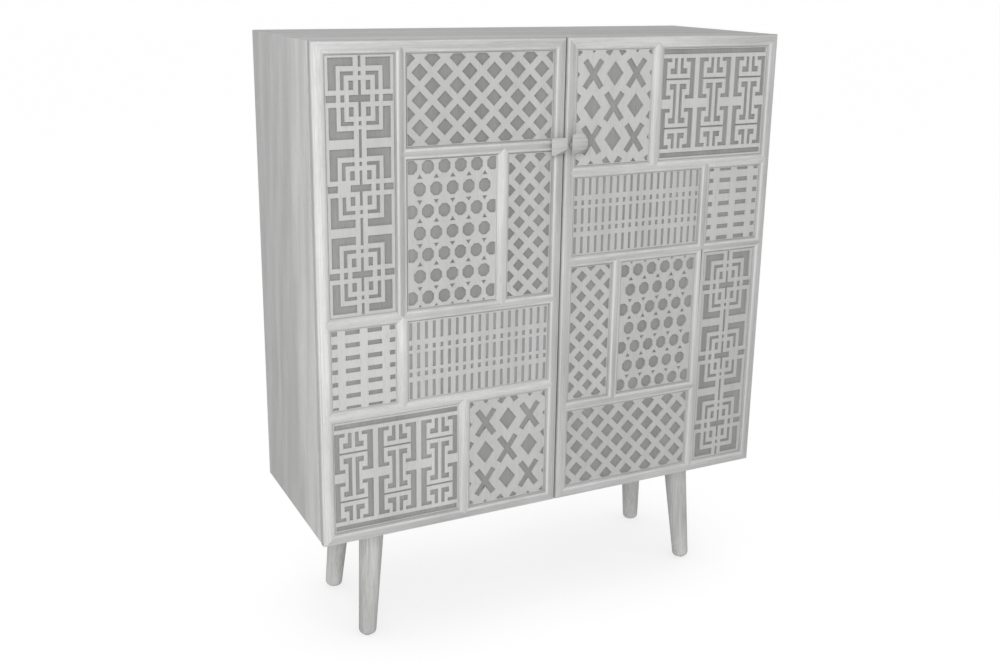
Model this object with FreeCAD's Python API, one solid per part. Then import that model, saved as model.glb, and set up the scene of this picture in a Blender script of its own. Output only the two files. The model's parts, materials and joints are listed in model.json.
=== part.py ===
import FreeCAD, Part
import math
import os

from FreeCAD import Rotation, Vector

os.makedirs("parts", exist_ok=True)

# A two-door cabinet on splayed legs. X runs to the right, Y from front to back, Z up.
# The origin is on the floor, under the middle of the whole object, knobs included.

# Overall sizes
cabinet_width = 1000.0
cabinet_depth = 380.0
cabinet_height = 1200.0
leg_height = 255.0
knob_projection = 18.0

# Carcass
panel_thickness = 18.0
carcass_rounding = 2.5
back_thickness = 6.0
back_inset = 4.0
divider_thickness = 18.0
shelf_thickness = 18.0
shelf_setback = 24.0
fit_clearance = 0.3

# Shelf pins: a peg with a flat tab that the shelf lies on
pin_peg_radius = 2.5
pin_peg_depth = 10.0
pin_tab_length = 12.0
pin_tab_width = 9.0
pin_tab_thickness = 2.0
pin_hole_clearance = 0.1
pin_front_setback = 45.0
pin_back_setback = 55.0

# Doors
door_gap = 3.0
door_to_carcass_gap = 3.5
board_thickness = 15.0
bar_width = 24.0
bar_height = 10.0
bar_edge_radius = 6.5
bar_face_radius = 27.0
tile_thickness = 4.0
tile_rim = 1.5

# Centre lines of the dividing bars, as shares of the door's width from its hinge edge and
# of its height from its first end
first_upright_share = 0.328
second_upright_share = 0.7412
lower_upright_share = 0.5858
first_crossbar_share = 0.2138
middle_crossbar_share = 0.5365
last_crossbar_share = 0.727

# Concentric square fretwork, one unit repeated along the tile
square_pitch = 159.0
square_shift = 1.0
square_gap_x = 11.7
square_gap_z = 15.0
outer_square_x = 57.5
outer_square_z = 71.0
outer_square_arm = 14.5
inner_ring_x = 35.3
inner_ring_z = 47.0
inner_ring_arm = 6.5
core_square_x = 20.0
core_square_z = 31.0
cross_slot_half = 6.0
cross_slot_reach = 19.5
ring_slot_start = 28.3
edge_slot_start = 43.5
spine_slot_half = 2.4
spine_core_reach = 31.5
spine_ring_start = 40.0
spine_link_start = 54.5

# Diamond lattices
large_diamond_pitch = 49.5
large_diamond_half = 15.8
small_diamond_pitch = 42.3
small_diamond_half = 12.2
small_lattice_shift = 7.0

# Cane pattern of octagons and small triangles
octagon_half_x = 11.9
octagon_half_z = 12.6
octagon_corner = 7.2
cane_pitch = 33.0
cane_row_pitch = 41.2
cane_shift = 2.8
triangle_offset = 24.0
triangle_half_width = 5.0
triangle_half_height = 3.8

# Tile of level dashes
dash_length = 28.0
dash_height = 8.6
dash_pitch_x = 43.5
dash_pitch_z = 24.6
dash_shift = -1.5

# Tile of upright slots, broken at shares of the tile's half height
slot_pitch = 16.0
slot_shift = -1.2
slot_half_width = 2.9
slot_span_shares = ((-0.968, -0.538), (-0.4, -0.285), (-0.196, 0.196), (0.285, 0.4), (0.538, 0.968))

# Key fret, its levels as shares of the tile's half height
key_pitch = 88.5
key_shift = -1.0
key_bracket_outer = 39.0
key_bracket_inner = 27.8
key_bracket_tip = 17.2
key_arm = 7.2
key_line_half = 1.6
key_stem_inner = 3.7
key_stem_outer = 10.6
key_head_reach = 20.0
key_head = 10.4
key_edge_slot_rim = 2.5
key_bracket_low_share = 0.086
key_bracket_high_share = 0.81
key_line_share = 0.44
key_stem_share = 0.352
key_hook_low_share = 0.535
key_hook_high_share = 0.809
key_edge_slot_shares = (0.884, 0.973)

# Crosses and diamonds
cross_pitch_x = 49.0
cross_pitch_z = 63.5
cross_shift = -1.3
cross_reach_x = 18.4
cross_reach_z = 26.2
cross_stroke_half = 6.1
cross_diamond_x = 19.0
cross_diamond_z = 24.0

# Knobs: a carved block on a short round neck, held by a screw through the door
knob_neck_from_edge = 14.0
knob_neck_radius = 7.0
knob_neck_length = 5.0
knob_head_width = 34.0
knob_head_heights = {"left": 33.0, "right": 41.0}
knob_head_rises = {"left": 0.0, "right": 3.0}
knob_head_from_edge = 20.8
knob_back_share = 0.62
knob_screw_radius = 2.0
knob_screw_bite = 12.0
knob_screw_head_radius = 4.5
knob_screw_head_height = 2.0
knob_screw_clearance = 0.2

# Flats cut on the heads by hand. Each lies through three points, given as shares of the
# half width, the half height and the depth of the head.
knob_flat_shares = {
    "left": [((-0.6, -1, 0), (1, -0.33, 0), (1, -1, 0.55))],
    "right": [
        ((-0.9, -1, 0), (1, -0.4, 0), (1, -1, 0.55)),
        ((-1, 0.35, 0), (-0.5, 1, 0), (-1, 1, 0.6)),
        ((0.4, 1, 0), (1, 0.35, 0), (1, 1, 0.6)),
    ],
}

# Concealed hinges, all sizes seen from the outer edge and the back face of the door
hinge_inset = 100.0
cup_radius = 17.5
cup_edge_distance = 5.5
cup_wall = 0.8
cup_depth = 12.6
cup_clearance = 0.1
flange_radius = 19.5
flange_thickness = 1.0
flange_edge_distance = 6.5
flange_ear_length = 62.0
flange_ear_width = 12.0
hinge_pin_from_edge = 10.5
hinge_pin_depth = 8.3
hinge_pin_radius = 2.0
hinge_pin_clearance = 0.05
arm_eye_radius = 3.0
arm_thickness = 2.0
arm_half_height = 5.0
arm_reach = 42.0
arm_plate_thickness = 3.0
arm_plate_start = 10.0
arm_plate_half_height = 9.0
arm_screw_radius = 3.0
arm_screw_head = 1.6
arm_screw_shank_radius = 1.6
arm_screw_bite = 12.0
arm_screw_spacing = 20.0
door_edge_relief = 4.5

# Legs
leg_top_radius = 26.0
leg_foot_radius = 18.0
leg_foot_rounding = 11.0
leg_foot_from_side = 112.0
leg_foot_from_front = 82.0
leg_foot_from_back = 82.0
leg_splay_x = 20.0
leg_splay_y = 18.0
leg_plate_size = 64.0
leg_plate_thickness = 2.5
leg_bolt_radius = 4.0
leg_bolt_in_leg = 40.0
leg_bolt_in_panel = 10.0
leg_bolt_clearance = 0.2
leg_screw_radius = 2.0
leg_screw_length = 13.0
leg_screw_head_radius = 4.0
leg_screw_head_height = 1.8
leg_screw_inset = 8.0
glide_radius = 9.0
glide_thickness = 3.0
cut_overrun = 5.0

# Places worked out from the sizes
half_width = cabinet_width / 2
overall_depth = cabinet_depth + knob_projection
back_y = overall_depth / 2
front_y = back_y - cabinet_depth
bar_back_y = front_y + bar_height
door_back_y = bar_back_y + board_thickness
carcass_front_y = door_back_y + door_to_carcass_gap
carcass_depth = back_y - carcass_front_y
body_height = cabinet_height - leg_height
door_width = (cabinet_width - door_gap) / 2
bar_half = bar_width / 2
first_upright = first_upright_share * door_width
second_upright = second_upright_share * door_width
lower_upright = lower_upright_share * door_width
first_crossbar = first_crossbar_share * body_height
middle_crossbar = middle_crossbar_share * body_height
last_crossbar = last_crossbar_share * body_height
meeting_line = door_width - bar_half
last_rail_line = body_height - bar_half
inner_half_width = half_width - panel_thickness
inner_bottom = leg_height + panel_thickness
inner_top = cabinet_height - panel_thickness
inner_height = inner_top - inner_bottom
back_panel_y = back_y - back_inset - back_thickness
cup_centre = cup_edge_distance + cup_radius
hinge_places = (hinge_inset, body_height / 2, body_height - hinge_inset)

nodes = {}


def box(x_low, x_high, y_low, y_high, z_low, z_high):
    size = Vector(x_high - x_low, y_high - y_low, z_high - z_low)
    return Part.makeBox(size.x, size.y, size.z, Vector(x_low, y_low, z_low))


def ring(points):
    """Closed straight-sided outline through the points."""
    return Part.makePolygon(list(points) + [points[0]])


def prism(points, along):
    """Solid swept from a flat outline."""
    return Part.Face(ring(points)).extrude(along)


def cylinder(radius, start, along):
    return Part.makeCylinder(radius, along.Length, start, along)


def group(solids):
    return Part.makeCompound(list(solids))


def on_door(side, shape):
    """Takes a shape from door places to the cabinet.

    On a door, x runs from the hinge edge and z down from the first end, so -z is used.
    The right door carries the left door's face turned half round.
    """
    placed = shape.copy()
    if side == "left":
        placed.translate(Vector(-half_width, 0, cabinet_height))
        return placed
    placed.rotate(Vector(0, 0, 0), Vector(0, 1, 0), 180)
    placed.translate(Vector(half_width, 0, leg_height))
    return placed


# Carcass


def carcass_envelope():
    """The body's outer block, its long corners and back edges rounded."""
    block = box(-half_width, half_width, carcass_front_y, back_y, leg_height, cabinet_height)
    rounded = [edge for edge in block.Edges if edge.CenterOfMass.y > carcass_front_y + carcass_rounding]
    return block.makeFillet(carcass_rounding, rounded)


def mitred_panel(half_long, level_outer, level_inner):
    """Level panel whose two ends are mitred, from its outer face to its inner face."""
    inner_long = half_long - panel_thickness
    outline = [
        Vector(-half_long, carcass_front_y, level_outer),
        Vector(half_long, carcass_front_y, level_outer),
        Vector(inner_long, carcass_front_y, level_inner),
        Vector(-inner_long, carcass_front_y, level_inner),
    ]
    return prism(outline, Vector(0, carcass_depth, 0)).common(carcass_envelope()).Solids[0]


def side_panel(sign):
    outer = sign * half_width
    inner = sign * inner_half_width
    outline = [
        Vector(outer, carcass_front_y, leg_height),
        Vector(outer, carcass_front_y, cabinet_height),
        Vector(inner, carcass_front_y, inner_top),
        Vector(inner, carcass_front_y, inner_bottom),
    ]
    return prism(outline, Vector(0, carcass_depth, 0)).common(carcass_envelope()).Solids[0]


def shelf_levels():
    """Undersides of the two shelves that share the inner height evenly."""
    bay = (inner_height - 2 * shelf_thickness) / 3
    lower = inner_bottom + bay
    return lower, lower + shelf_thickness + bay


def pin_rows():
    """Places along Y of the front and back shelf pins."""
    return carcass_front_y + pin_front_setback, back_panel_y - pin_back_setback


def pin_holes(face_x, into):
    """Peg holes drilled from an upright's face, in the direction of the sign."""
    holes = []
    for level in shelf_levels():
        for row in pin_rows():
            centre_z = level - pin_tab_thickness - pin_peg_radius
            start = Vector(face_x, row, centre_z)
            depth = pin_peg_depth + fit_clearance
            holes.append(cylinder(pin_peg_radius + pin_hole_clearance, start, Vector(into * depth, 0, 0)))
    return holes


def shelf_pin(face_x, into, row, level):
    """Peg in the upright, with a web and a flat tab under the shelf."""
    tab_top = level
    tab_low = level - pin_tab_thickness
    tip = face_x - into * pin_tab_length
    low_x = min(face_x, tip)
    high_x = max(face_x, tip)
    half = pin_tab_width / 2
    tab = box(low_x, high_x, row - half, row + half, tab_low, tab_top)
    collar = face_x - into * pin_tab_thickness
    collar_low = tab_low - 2 * pin_peg_radius
    web = box(min(face_x, collar), max(face_x, collar), row - half, row + half, collar_low, tab_low)
    start = Vector(collar, row, tab_low - pin_peg_radius)
    peg = cylinder(pin_peg_radius, start, Vector(into * (pin_peg_depth + pin_tab_thickness), 0, 0))
    return tab.fuse([web, peg]).removeSplitter()


def shelf(sign, level):
    """Shelf between the centre divider and a side panel."""
    near = divider_thickness / 2 + fit_clearance
    far = inner_half_width - fit_clearance
    low_x = min(sign * near, sign * far)
    high_x = max(sign * near, sign * far)
    front = carcass_front_y + shelf_setback
    return box(low_x, high_x, front, back_panel_y - fit_clearance, level, level + shelf_thickness)


def bolt_axis(sign_x, sign_y):
    """Foot centre and head centre of a leg, the head at the plate's underside."""
    foot_x = sign_x * (half_width - leg_foot_from_side)
    if sign_y < 0:
        foot_y = front_y + leg_foot_from_front
    else:
        foot_y = back_y - leg_foot_from_back
    foot = Vector(foot_x, foot_y, glide_thickness)
    head_z = leg_height - leg_plate_thickness
    head = Vector(foot_x - sign_x * leg_splay_x, foot_y - sign_y * leg_splay_y, head_z)
    return foot, head


def leg_corners():
    return [("front_left", -1, -1), ("front_right", 1, -1), ("back_left", -1, 1), ("back_right", 1, 1)]


def leg_bolt(sign_x, sign_y, extra):
    foot, head = bolt_axis(sign_x, sign_y)
    direction = (head - foot).normalize()
    start = head - direction * (leg_bolt_in_leg + extra)
    reach = leg_bolt_in_leg + leg_bolt_in_panel + 2 * extra
    return cylinder(leg_bolt_radius + extra, start, direction * reach)


def turned_leg(sign_x, sign_y):
    """Tapered round leg, turned on its own axis, leaned over and cut level at both ends."""
    foot, head = bolt_axis(sign_x, sign_y)
    axis = head - foot
    length = axis.Length
    rounding = leg_foot_rounding
    low = -rounding / 4
    high = length + leg_top_radius
    top_radius = leg_top_radius + (leg_top_radius - leg_foot_radius) * leg_top_radius / length
    bend = rounding * (1 - math.sqrt(0.5))
    outline = [
        Part.LineSegment(Vector(0, 0, low), Vector(leg_foot_radius - rounding, 0, low)).toShape(),
        Part.Arc(
            Vector(leg_foot_radius - rounding, 0, low),
            Vector(leg_foot_radius - bend, 0, low + bend),
            Vector(leg_foot_radius, 0, low + rounding),
        ).toShape(),
        Part.LineSegment(Vector(leg_foot_radius, 0, low + rounding), Vector(top_radius, 0, high)).toShape(),
        Part.LineSegment(Vector(top_radius, 0, high), Vector(0, 0, high)).toShape(),
        Part.LineSegment(Vector(0, 0, high), Vector(0, 0, low)).toShape(),
    ]
    turned = Part.Face(Part.Wire(outline)).revolve(Vector(0, 0, 0), Vector(0, 0, 1), 360)
    turned.Placement = FreeCAD.Placement(foot, Rotation(Vector(0, 0, 1), axis))
    reach = 2 * leg_top_radius
    keep = box(
        min(foot.x, head.x) - reach,
        max(foot.x, head.x) + reach,
        min(foot.y, head.y) - reach,
        max(foot.y, head.y) + reach,
        foot.z,
        head.z,
    )
    leg = turned.common(keep)
    return leg.cut(leg_bolt(sign_x, sign_y, leg_bolt_clearance)).Solids[0]


def leg_screw_places(sign_x, sign_y):
    head = bolt_axis(sign_x, sign_y)[1]
    offset = leg_plate_size / 2 - leg_screw_inset
    return [Vector(head.x + i * offset, head.y + j * offset, 0) for i in (-1, 1) for j in (-1, 1)]


def leg_screw(place):
    """Short screw up into the bottom panel, its head under the plate."""
    under = leg_height - leg_plate_thickness
    shank_start = Vector(place.x, place.y, under)
    shank = cylinder(leg_screw_radius, shank_start, Vector(0, 0, leg_screw_length))
    head_start = Vector(place.x, place.y, under - leg_screw_head_height)
    head = cylinder(leg_screw_head_radius, head_start, Vector(0, 0, leg_screw_head_height))
    return shank.fuse(head)


def leg_screw_hole(place):
    start = Vector(place.x, place.y, leg_height - leg_plate_thickness - cut_overrun)
    reach = cut_overrun + leg_screw_length + fit_clearance
    return cylinder(leg_screw_radius + fit_clearance / 2, start, Vector(0, 0, reach))


def leg_plate(sign_x, sign_y):
    head = bolt_axis(sign_x, sign_y)[1]
    half = leg_plate_size / 2
    plate = box(head.x - half, head.x + half, head.y - half, head.y + half, head.z, leg_height)
    holes = [leg_screw_hole(place) for place in leg_screw_places(sign_x, sign_y)]
    return plate.cut([leg_bolt(sign_x, sign_y, leg_bolt_clearance)] + holes)


def glide(sign_x, sign_y):
    foot = bolt_axis(sign_x, sign_y)[0]
    return cylinder(glide_radius, Vector(foot.x, foot.y, 0), Vector(0, 0, glide_thickness))


def build_carcass():
    nodes["top_panel"] = mitred_panel(half_width, cabinet_height, inner_top)
    bottom = mitred_panel(half_width, leg_height, inner_bottom)
    bottom_cuts = []
    for _, sign_x, sign_y in leg_corners():
        bottom_cuts.append(leg_bolt(sign_x, sign_y, leg_bolt_clearance))
        bottom_cuts += [leg_screw_hole(place) for place in leg_screw_places(sign_x, sign_y)]
    nodes["bottom_panel"] = bottom.cut(bottom_cuts)

    for name, side, sign in (("left_side_panel", "left", -1), ("right_side_panel", "right", 1)):
        holes = pin_holes(sign * inner_half_width, sign) + arm_screw_holes(side)
        nodes[name] = side_panel(sign).cut(holes)
    nodes["back_panel"] = box(
        -inner_half_width,
        inner_half_width,
        back_panel_y,
        back_panel_y + back_thickness,
        inner_bottom,
        inner_top,
    )
    half = divider_thickness / 2
    divider = box(-half, half, carcass_front_y, back_panel_y, inner_bottom, inner_top)
    nodes["centre_divider"] = divider.cut(divider_pin_holes())

    lower, upper = shelf_levels()
    nodes["lower_left_shelf"] = shelf(-1, lower)
    nodes["upper_left_shelf"] = shelf(-1, upper)
    nodes["lower_right_shelf"] = shelf(1, lower)
    nodes["upper_right_shelf"] = shelf(1, upper)
    nodes["shelf_pins"] = group(all_shelf_pins())

    for name, sign_x, sign_y in leg_corners():
        nodes[name + "_leg"] = turned_leg(sign_x, sign_y)
    nodes["leg_plates"] = group(leg_plate(sx, sy) for _, sx, sy in leg_corners())
    fixings = [leg_bolt(sx, sy, 0) for _, sx, sy in leg_corners()]
    fixings += [leg_screw(place) for _, sx, sy in leg_corners() for place in leg_screw_places(sx, sy)]
    nodes["leg_fixings"] = group(fixings)
    nodes["leg_glides"] = group(glide(sx, sy) for _, sx, sy in leg_corners())


def divider_peg_depth():
    """Pegs from both faces share the divider, so each goes a little under half way."""
    return divider_thickness / 2 - 2 * fit_clearance


def divider_pin_holes():
    holes = []
    for sign in (-1, 1):
        for level in shelf_levels():
            for row in pin_rows():
                start = Vector(sign * divider_thickness / 2, row, level - pin_tab_thickness - pin_peg_radius)
                along = Vector(-sign * (divider_peg_depth() + fit_clearance), 0, 0)
                holes.append(cylinder(pin_peg_radius + pin_hole_clearance, start, along))
    return holes


def divider_pin(sign, row, level):
    """The same pin with a shorter peg, in a face of the divider."""
    face_x = sign * divider_thickness / 2
    whole = shelf_pin(face_x, -sign, row, level)
    kept = face_x - sign * divider_peg_depth()
    tip = face_x + sign * pin_tab_length
    half = pin_tab_width
    low_z = level - pin_tab_thickness - 2 * pin_peg_radius
    window = box(min(kept, tip), max(kept, tip), row - half, row + half, low_z, level)
    return whole.common(window).Solids[0]


def all_shelf_pins():
    pins = []
    for level in shelf_levels():
        for row in pin_rows():
            for sign in (-1, 1):
                pins.append(shelf_pin(sign * inner_half_width, sign, row, level))
                pins.append(divider_pin(sign, row, level))
    return pins


# Hinges, in door places


def hinge_pin_place(level):
    return Vector(hinge_pin_from_edge, door_back_y - hinge_pin_depth, -level)


def cup_shell(level):
    """Round cup let into the back of the door, with an eared flange and bores for its pin."""
    mouth = Vector(cup_centre, door_back_y, -level)
    body = cylinder(cup_radius, mouth, Vector(0, -cup_depth, 0))
    disc = cylinder(flange_radius, mouth, Vector(0, flange_thickness, 0))
    ear = box(
        cup_centre - flange_ear_width / 2,
        cup_centre + flange_ear_width / 2,
        door_back_y,
        door_back_y + flange_thickness,
        -level - flange_ear_length / 2,
        -level + flange_ear_length / 2,
    )
    flange = disc.fuse(ear)
    trim = box(
        flange_edge_distance - flange_radius,
        flange_edge_distance,
        door_back_y,
        door_back_y + flange_thickness,
        -level - flange_ear_length,
        -level + flange_ear_length,
    )
    flange = flange.cut(trim)
    hollow_start = Vector(cup_centre, door_back_y + flange_thickness + cut_overrun, -level)
    hollow_reach = cut_overrun + flange_thickness + cup_depth - cup_wall
    hollow = cylinder(cup_radius - cup_wall, hollow_start, Vector(0, -hollow_reach, 0))
    pin_place = hinge_pin_place(level)
    bore_start = pin_place - Vector(0, 0, cup_radius)
    bore = cylinder(hinge_pin_radius, bore_start, Vector(0, 0, 2 * cup_radius))
    return body.fuse(flange).cut([hollow, bore]).removeSplitter()


def hinge_pin(level):
    """Pin across the cup, its ends flush with the cup's outer wall."""
    start = hinge_pin_place(level) - Vector(0, 0, cup_radius)
    rod = cylinder(hinge_pin_radius, start, Vector(0, 0, 2 * cup_radius))
    mouth = Vector(cup_centre, door_back_y, -level)
    return rod.common(cylinder(cup_radius, mouth, Vector(0, -cup_depth, 0))).Solids[0]


def hinge_arm(level):
    """Cranked arm from the eye on the pin, out through the cup's mouth, to the side panel."""
    pin_place = hinge_pin_place(level)
    low = -level - arm_half_height
    tall = Vector(0, 0, 2 * arm_half_height)
    eye_start = Vector(pin_place.x, pin_place.y, low)
    eye = cylinder(arm_eye_radius, eye_start, tall)
    half = arm_thickness / 2
    outer_x = panel_thickness + arm_plate_thickness
    inner_x = outer_x + arm_thickness
    end_y = carcass_front_y + arm_plate_start + arm_reach
    outline = [
        Vector(pin_place.x, pin_place.y - half, low),
        Vector(inner_x, pin_place.y - half, low),
        Vector(inner_x, end_y, low),
        Vector(outer_x, end_y, low),
        Vector(outer_x, pin_place.y + half, low),
        Vector(pin_place.x, pin_place.y + half, low),
    ]
    strip = prism(outline, tall)
    bore_start = eye_start - Vector(0, 0, cut_overrun)
    bore_reach = tall + Vector(0, 0, 2 * cut_overrun)
    bore = cylinder(hinge_pin_radius + hinge_pin_clearance, bore_start, bore_reach)
    arm = eye.fuse(strip).cut([bore] + arm_screw_shanks(level, hinge_pin_clearance))
    return arm.removeSplitter()


def arm_screw_rows():
    middle = carcass_front_y + arm_plate_start + arm_reach / 2
    return middle - arm_screw_spacing / 2, middle + arm_screw_spacing / 2


def arm_screw_shanks(level, extra):
    """Shanks of the two screws through arm and plate, from the arm's inner face."""
    inner_x = panel_thickness + arm_plate_thickness + arm_thickness
    reach = arm_thickness + arm_plate_thickness + arm_screw_bite + extra
    shanks = []
    for row in arm_screw_rows():
        start = Vector(inner_x, row, -level)
        shanks.append(cylinder(arm_screw_shank_radius + extra, start, Vector(-reach, 0, 0)))
    return shanks


def arm_screws(level):
    inner_x = panel_thickness + arm_plate_thickness + arm_thickness
    screws = []
    for row, shank in zip(arm_screw_rows(), arm_screw_shanks(level, 0)):
        head = cylinder(arm_screw_radius, Vector(inner_x, row, -level), Vector(arm_screw_head, 0, 0))
        screws.append(head.fuse(shank))
    return screws


def arm_screw_holes(side):
    holes = []
    for level in hinge_places:
        holes += arm_screw_shanks(level, hinge_pin_clearance)
    return [on_door(side, hole) for hole in holes]


def arm_plate(level):
    """Plate on the side panel's inner face, under the arm."""
    plate = box(
        panel_thickness,
        panel_thickness + arm_plate_thickness,
        carcass_front_y + arm_plate_start,
        carcass_front_y + arm_plate_start + arm_reach,
        -level - arm_plate_half_height,
        -level + arm_plate_half_height,
    )
    return plate.cut(arm_screw_shanks(level, hinge_pin_clearance))


# Door frame and board, in door places


def knob_level(side):
    """Both knobs stand at the height of the left door's first crossbar."""
    if side == "left":
        return first_crossbar
    return body_height - first_crossbar


def neck_axis_x():
    return door_width - knob_neck_from_edge


def knob_screw_shank(side, extra):
    start = Vector(neck_axis_x(), door_back_y, -knob_level(side))
    reach = board_thickness + bar_height + knob_screw_bite + extra
    return cylinder(knob_screw_radius + extra, start, Vector(0, -reach, 0))


def door_board(side):
    """Back board, relieved along its hinge edge, bored for the cups and the knob screw."""
    relief = door_edge_relief
    outline = [
        Vector(0, bar_back_y, 0),
        Vector(door_width, bar_back_y, 0),
        Vector(door_width, door_back_y, 0),
        Vector(relief, door_back_y, 0),
        Vector(0, door_back_y - relief, 0),
    ]
    board = prism(outline, Vector(0, 0, -body_height))
    cuts = [knob_screw_shank(side, knob_screw_clearance)]
    for level in hinge_places:
        start = Vector(cup_centre, door_back_y + cut_overrun, -level)
        reach = cut_overrun + cup_depth + cup_clearance
        cuts.append(cylinder(cup_radius + cup_clearance, start, Vector(0, -reach, 0)))
    return board.cut(cuts)


def bar_section():
    """Half of the section, from its side to its crest: pairs of across and out from the board.

    The wide arc of the face runs into the round edge without a crease, at the lean.
    """
    edge = bar_edge_radius
    face = bar_face_radius
    across = bar_half - edge
    lean = math.asin(across / (face - edge))
    out = bar_height - face + (face - edge) * math.cos(lean)
    halfway = (lean + math.pi / 2) / 2
    round_edge = [(across + edge * math.sin(turn), out + edge * math.cos(turn)) for turn in (halfway, lean)]
    return [(bar_half, out)] + round_edge + [(0, bar_height)]


def bar_stock(start, along, across):
    """Straight moulding along a line on the board's face."""
    section = [(bar_half, 0)] + bar_section()
    proud = Vector(0, -1, 0)
    low, side, round_edge, shoulder, crest = [start + across * x + proud * y for x, y in section]
    far_low, far_side, far_round, far_shoulder = [start - across * x + proud * y for x, y in section[:-1]]
    edges = [
        Part.LineSegment(far_low, low).toShape(),
        Part.LineSegment(low, side).toShape(),
        Part.Arc(side, round_edge, shoulder).toShape(),
        Part.Arc(shoulder, crest, far_shoulder).toShape(),
        Part.Arc(far_shoulder, far_round, far_side).toShape(),
        Part.LineSegment(far_side, far_low).toShape(),
    ]
    return Part.Face(Part.Wire(edges)).extrude(along)


def tooth(point, along, across):
    """Right-angled point of a bar's end: apex on the crossing bar's centre line."""
    back = point + along * bar_half
    return [point, back + across * bar_half, back - across * bar_half]


def plan_prism(points):
    """Outline on the door's face, swept through the height of the bars and a bit more."""
    start_y = bar_back_y + cut_overrun
    lifted = [Vector(point.x, start_y, point.z) for point in points]
    return prism(lifted, Vector(0, -(bar_height + 2 * cut_overrun), 0))


def upright(x, z_from, z_to, teeth):
    """Bar along z with pointed ends; teeth are notches as (z, side) of bars that meet it."""
    first = Vector(x, 0, -z_from)
    last = Vector(x, 0, -z_to)
    return pointed_bar(first, last, Vector(1, 0, 0), [(Vector(x, 0, -z), side) for z, side in teeth])


def crossbar(z, x_from, x_to, teeth):
    first = Vector(x_from, 0, -z)
    last = Vector(x_to, 0, -z)
    return pointed_bar(first, last, Vector(0, 0, 1), [(Vector(x, 0, -z), side) for x, side in teeth])


def pointed_bar(first, last, across, teeth):
    along = (last - first).normalize()
    start = Vector(first.x, bar_back_y, first.z)
    stock = bar_stock(start, last - first, across)
    plan = [
        first,
        first + along * bar_half + across * bar_half,
        last - along * bar_half + across * bar_half,
        last,
        last - along * bar_half - across * bar_half,
        first + along * bar_half - across * bar_half,
    ]
    bar = stock.common(plan_prism(plan))
    return cut_teeth(bar, across, along, teeth).Solids[0]


def cut_teeth(bar, across, along, teeth):
    """Notches whose apex is on the bar's centre line, open to the given side."""
    if not teeth:
        return bar
    return bar.cut([plan_prism(tooth(point, across * side, along)) for point, side in teeth])


def frame_bar(first, last, inward, teeth):
    """Member of the outer frame with mitred ends; inward points to the door's middle."""
    along = (last - first).normalize()
    reach = along * bar_half
    start = Vector(first.x, bar_back_y, first.z) - reach
    stock = bar_stock(start, last - first + reach * 2, inward)
    plan = [
        first - reach - inward * bar_half,
        last + reach - inward * bar_half,
        last - reach + inward * bar_half,
        first + reach + inward * bar_half,
    ]
    bar = stock.common(plan_prism(plan))
    return cut_teeth(bar, inward, along, [(point, 1) for point in teeth]).Solids[0]


def outer_stile():
    teeth = [Vector(bar_half, 0, -middle_crossbar), Vector(bar_half, 0, -last_crossbar)]
    first = Vector(bar_half, 0, -bar_half)
    last = Vector(bar_half, 0, -last_rail_line)
    return frame_bar(first, last, Vector(1, 0, 0), teeth)


def meeting_stile(side):
    levels = (first_crossbar, middle_crossbar, last_crossbar)
    teeth = [Vector(meeting_line, 0, -level) for level in levels]
    first = Vector(meeting_line, 0, -bar_half)
    last = Vector(meeting_line, 0, -last_rail_line)
    stile = frame_bar(first, last, Vector(-1, 0, 0), teeth)
    return stile.cut(knob_screw_shank(side, knob_screw_clearance)).Solids[0]


def end_rail(level, inward_z, tooth_x):
    first = Vector(bar_half, 0, -level)
    last = Vector(meeting_line, 0, -level)
    return frame_bar(first, last, Vector(0, 0, inward_z), [Vector(tooth_x, 0, -level)])


def upright_bars():
    return [
        upright(first_upright, bar_half, middle_crossbar, [(first_crossbar, 1)]),
        upright(second_upright, first_crossbar, middle_crossbar, []),
        upright(first_upright, middle_crossbar, last_crossbar, []),
        upright(lower_upright, last_crossbar, last_rail_line, []),
    ]


def crossbars(side):
    """The first one starts under the left knob, so its screw passes beside it there."""
    first = crossbar(first_crossbar, first_upright, meeting_line, [(second_upright, -1)])
    if side == "left":
        first = first.cut(knob_screw_shank(side, knob_screw_clearance)).Solids[0]
    return [
        first,
        crossbar(middle_crossbar, bar_half, first_upright, []),
        crossbar(middle_crossbar, first_upright, meeting_line, [(second_upright, 1)]),
        crossbar(last_crossbar, bar_half, meeting_line, [(first_upright, 1), (lower_upright, -1)]),
    ]


# Fretwork tiles, in door places. A cell is the space between bar edges.


def cell(x_low, x_high, z_low, z_high):
    """Centre and half sizes of the space between four bar centre lines."""
    centre = Vector((x_low + x_high) / 2, 0, -(z_low + z_high) / 2)
    half_x = (x_high - x_low) / 2 - bar_half
    half_z = (z_high - z_low) / 2 - bar_half
    return centre, half_x, half_z


def flat(points):
    return Part.Face(ring([Vector(x, 0, z) for x, z in points]))


def rectangle(x_low, x_high, z_low, z_high):
    return flat([(x_low, z_low), (x_high, z_low), (x_high, z_high), (x_low, z_high)])


def diamond(x, z, half_x, half_z):
    return flat([(x - half_x, z), (x, z - half_z), (x + half_x, z), (x, z + half_z)])


def octagon(x, z):
    """Rectangle with its four corners cut off at half a right angle."""
    corner = octagon_corner
    quarter = [(octagon_half_x, octagon_half_z - corner), (octagon_half_x - corner, octagon_half_z)]
    points = quarter + [(-i, j) for i, j in reversed(quarter)]
    points += [(-i, -j) for i, j in points]
    return flat([(x + i, z + j) for i, j in points])


def turned(points, sign_x, sign_z):
    return flat([(sign_x * x, sign_z * z) for x, z in points])


def moved(face, x, z):
    copy = face.copy()
    copy.translate(Vector(x, 0, z))
    return copy


QUARTERS = ((-1, -1), (-1, 1), (1, -1), (1, 1))


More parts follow.
